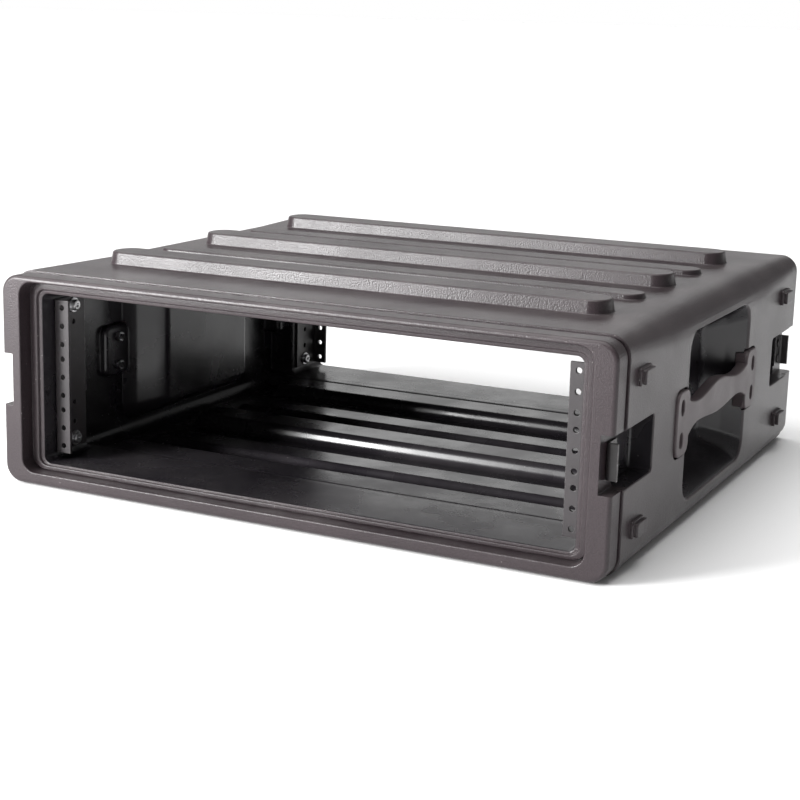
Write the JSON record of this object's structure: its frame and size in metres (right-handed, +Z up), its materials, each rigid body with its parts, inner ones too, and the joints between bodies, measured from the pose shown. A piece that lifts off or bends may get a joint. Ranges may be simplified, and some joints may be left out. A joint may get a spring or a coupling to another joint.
{
  "type": "equipment rack case",
  "caption": "Rotomoulded equipment rack case body, open front and rear, with steel rack rails, side carry handles, latch keepers and stacking ribs.",
  "frame": {"origin": "the middle of the flat underside", "axes": "+X across the width to the right seen from the front, -Y towards the front opening, +Z up"},
  "size_m": [0.56, 0.522, 0.1935],
  "materials": {
    "case_plastic": "pebble-textured rotomoulded polyethylene with a soft sheen",
    "handle_plastic": "fine satin moulded nylon",
    "rail_steel": "satin black powder coat",
    "keeper_steel": "black coat with worn bright edges",
    "zinc_fastener": "bright zinc plate",
    "black_fastener": "black oxide",
    "brass_insert": "turned brass"
  },
  "bodies": {
    "root": {"case_shell": "case_plastic", "front_left_rail": "rail_steel", "front_left_rail_screws": "zinc_fastener", "front_left_rail_washers": "zinc_fastener", "front_left_rail_inserts": "brass_insert", "front_left_latch_keeper": "keeper_steel", "front_left_keeper_rivets": "zinc_fastener", "front_right_rail": "rail_steel", "front_right_rail_screws": "zinc_fastener", "front_right_rail_washers": "zinc_fastener", "front_right_rail_inserts": "brass_insert", "front_right_latch_keeper": "keeper_steel", "front_right_keeper_rivets": "zinc_fastener", "rear_left_rail": "rail_steel", "rear_left_rail_screws": "zinc_fastener", "rear_left_rail_washers": "zinc_fastener", "rear_left_rail_inserts": "brass_insert", "rear_left_latch_keeper": "keeper_steel", "rear_left_keeper_rivets": "zinc_fastener", "rear_right_rail": "rail_steel", "rear_right_rail_screws": "zinc_fastener", "rear_right_rail_washers": "zinc_fastener", "rear_right_rail_inserts": "brass_insert", "rear_right_latch_keeper": "keeper_steel", "rear_right_keeper_rivets": "zinc_fastener", "left_handle": "handle_plastic", "left_handle_screws": "black_fastener", "left_handle_nuts": "zinc_fastener", "right_handle": "handle_plastic", "right_handle_screws": "black_fastener", "right_handle_nuts": "zinc_fastener"}
  },
  "joints": []
}
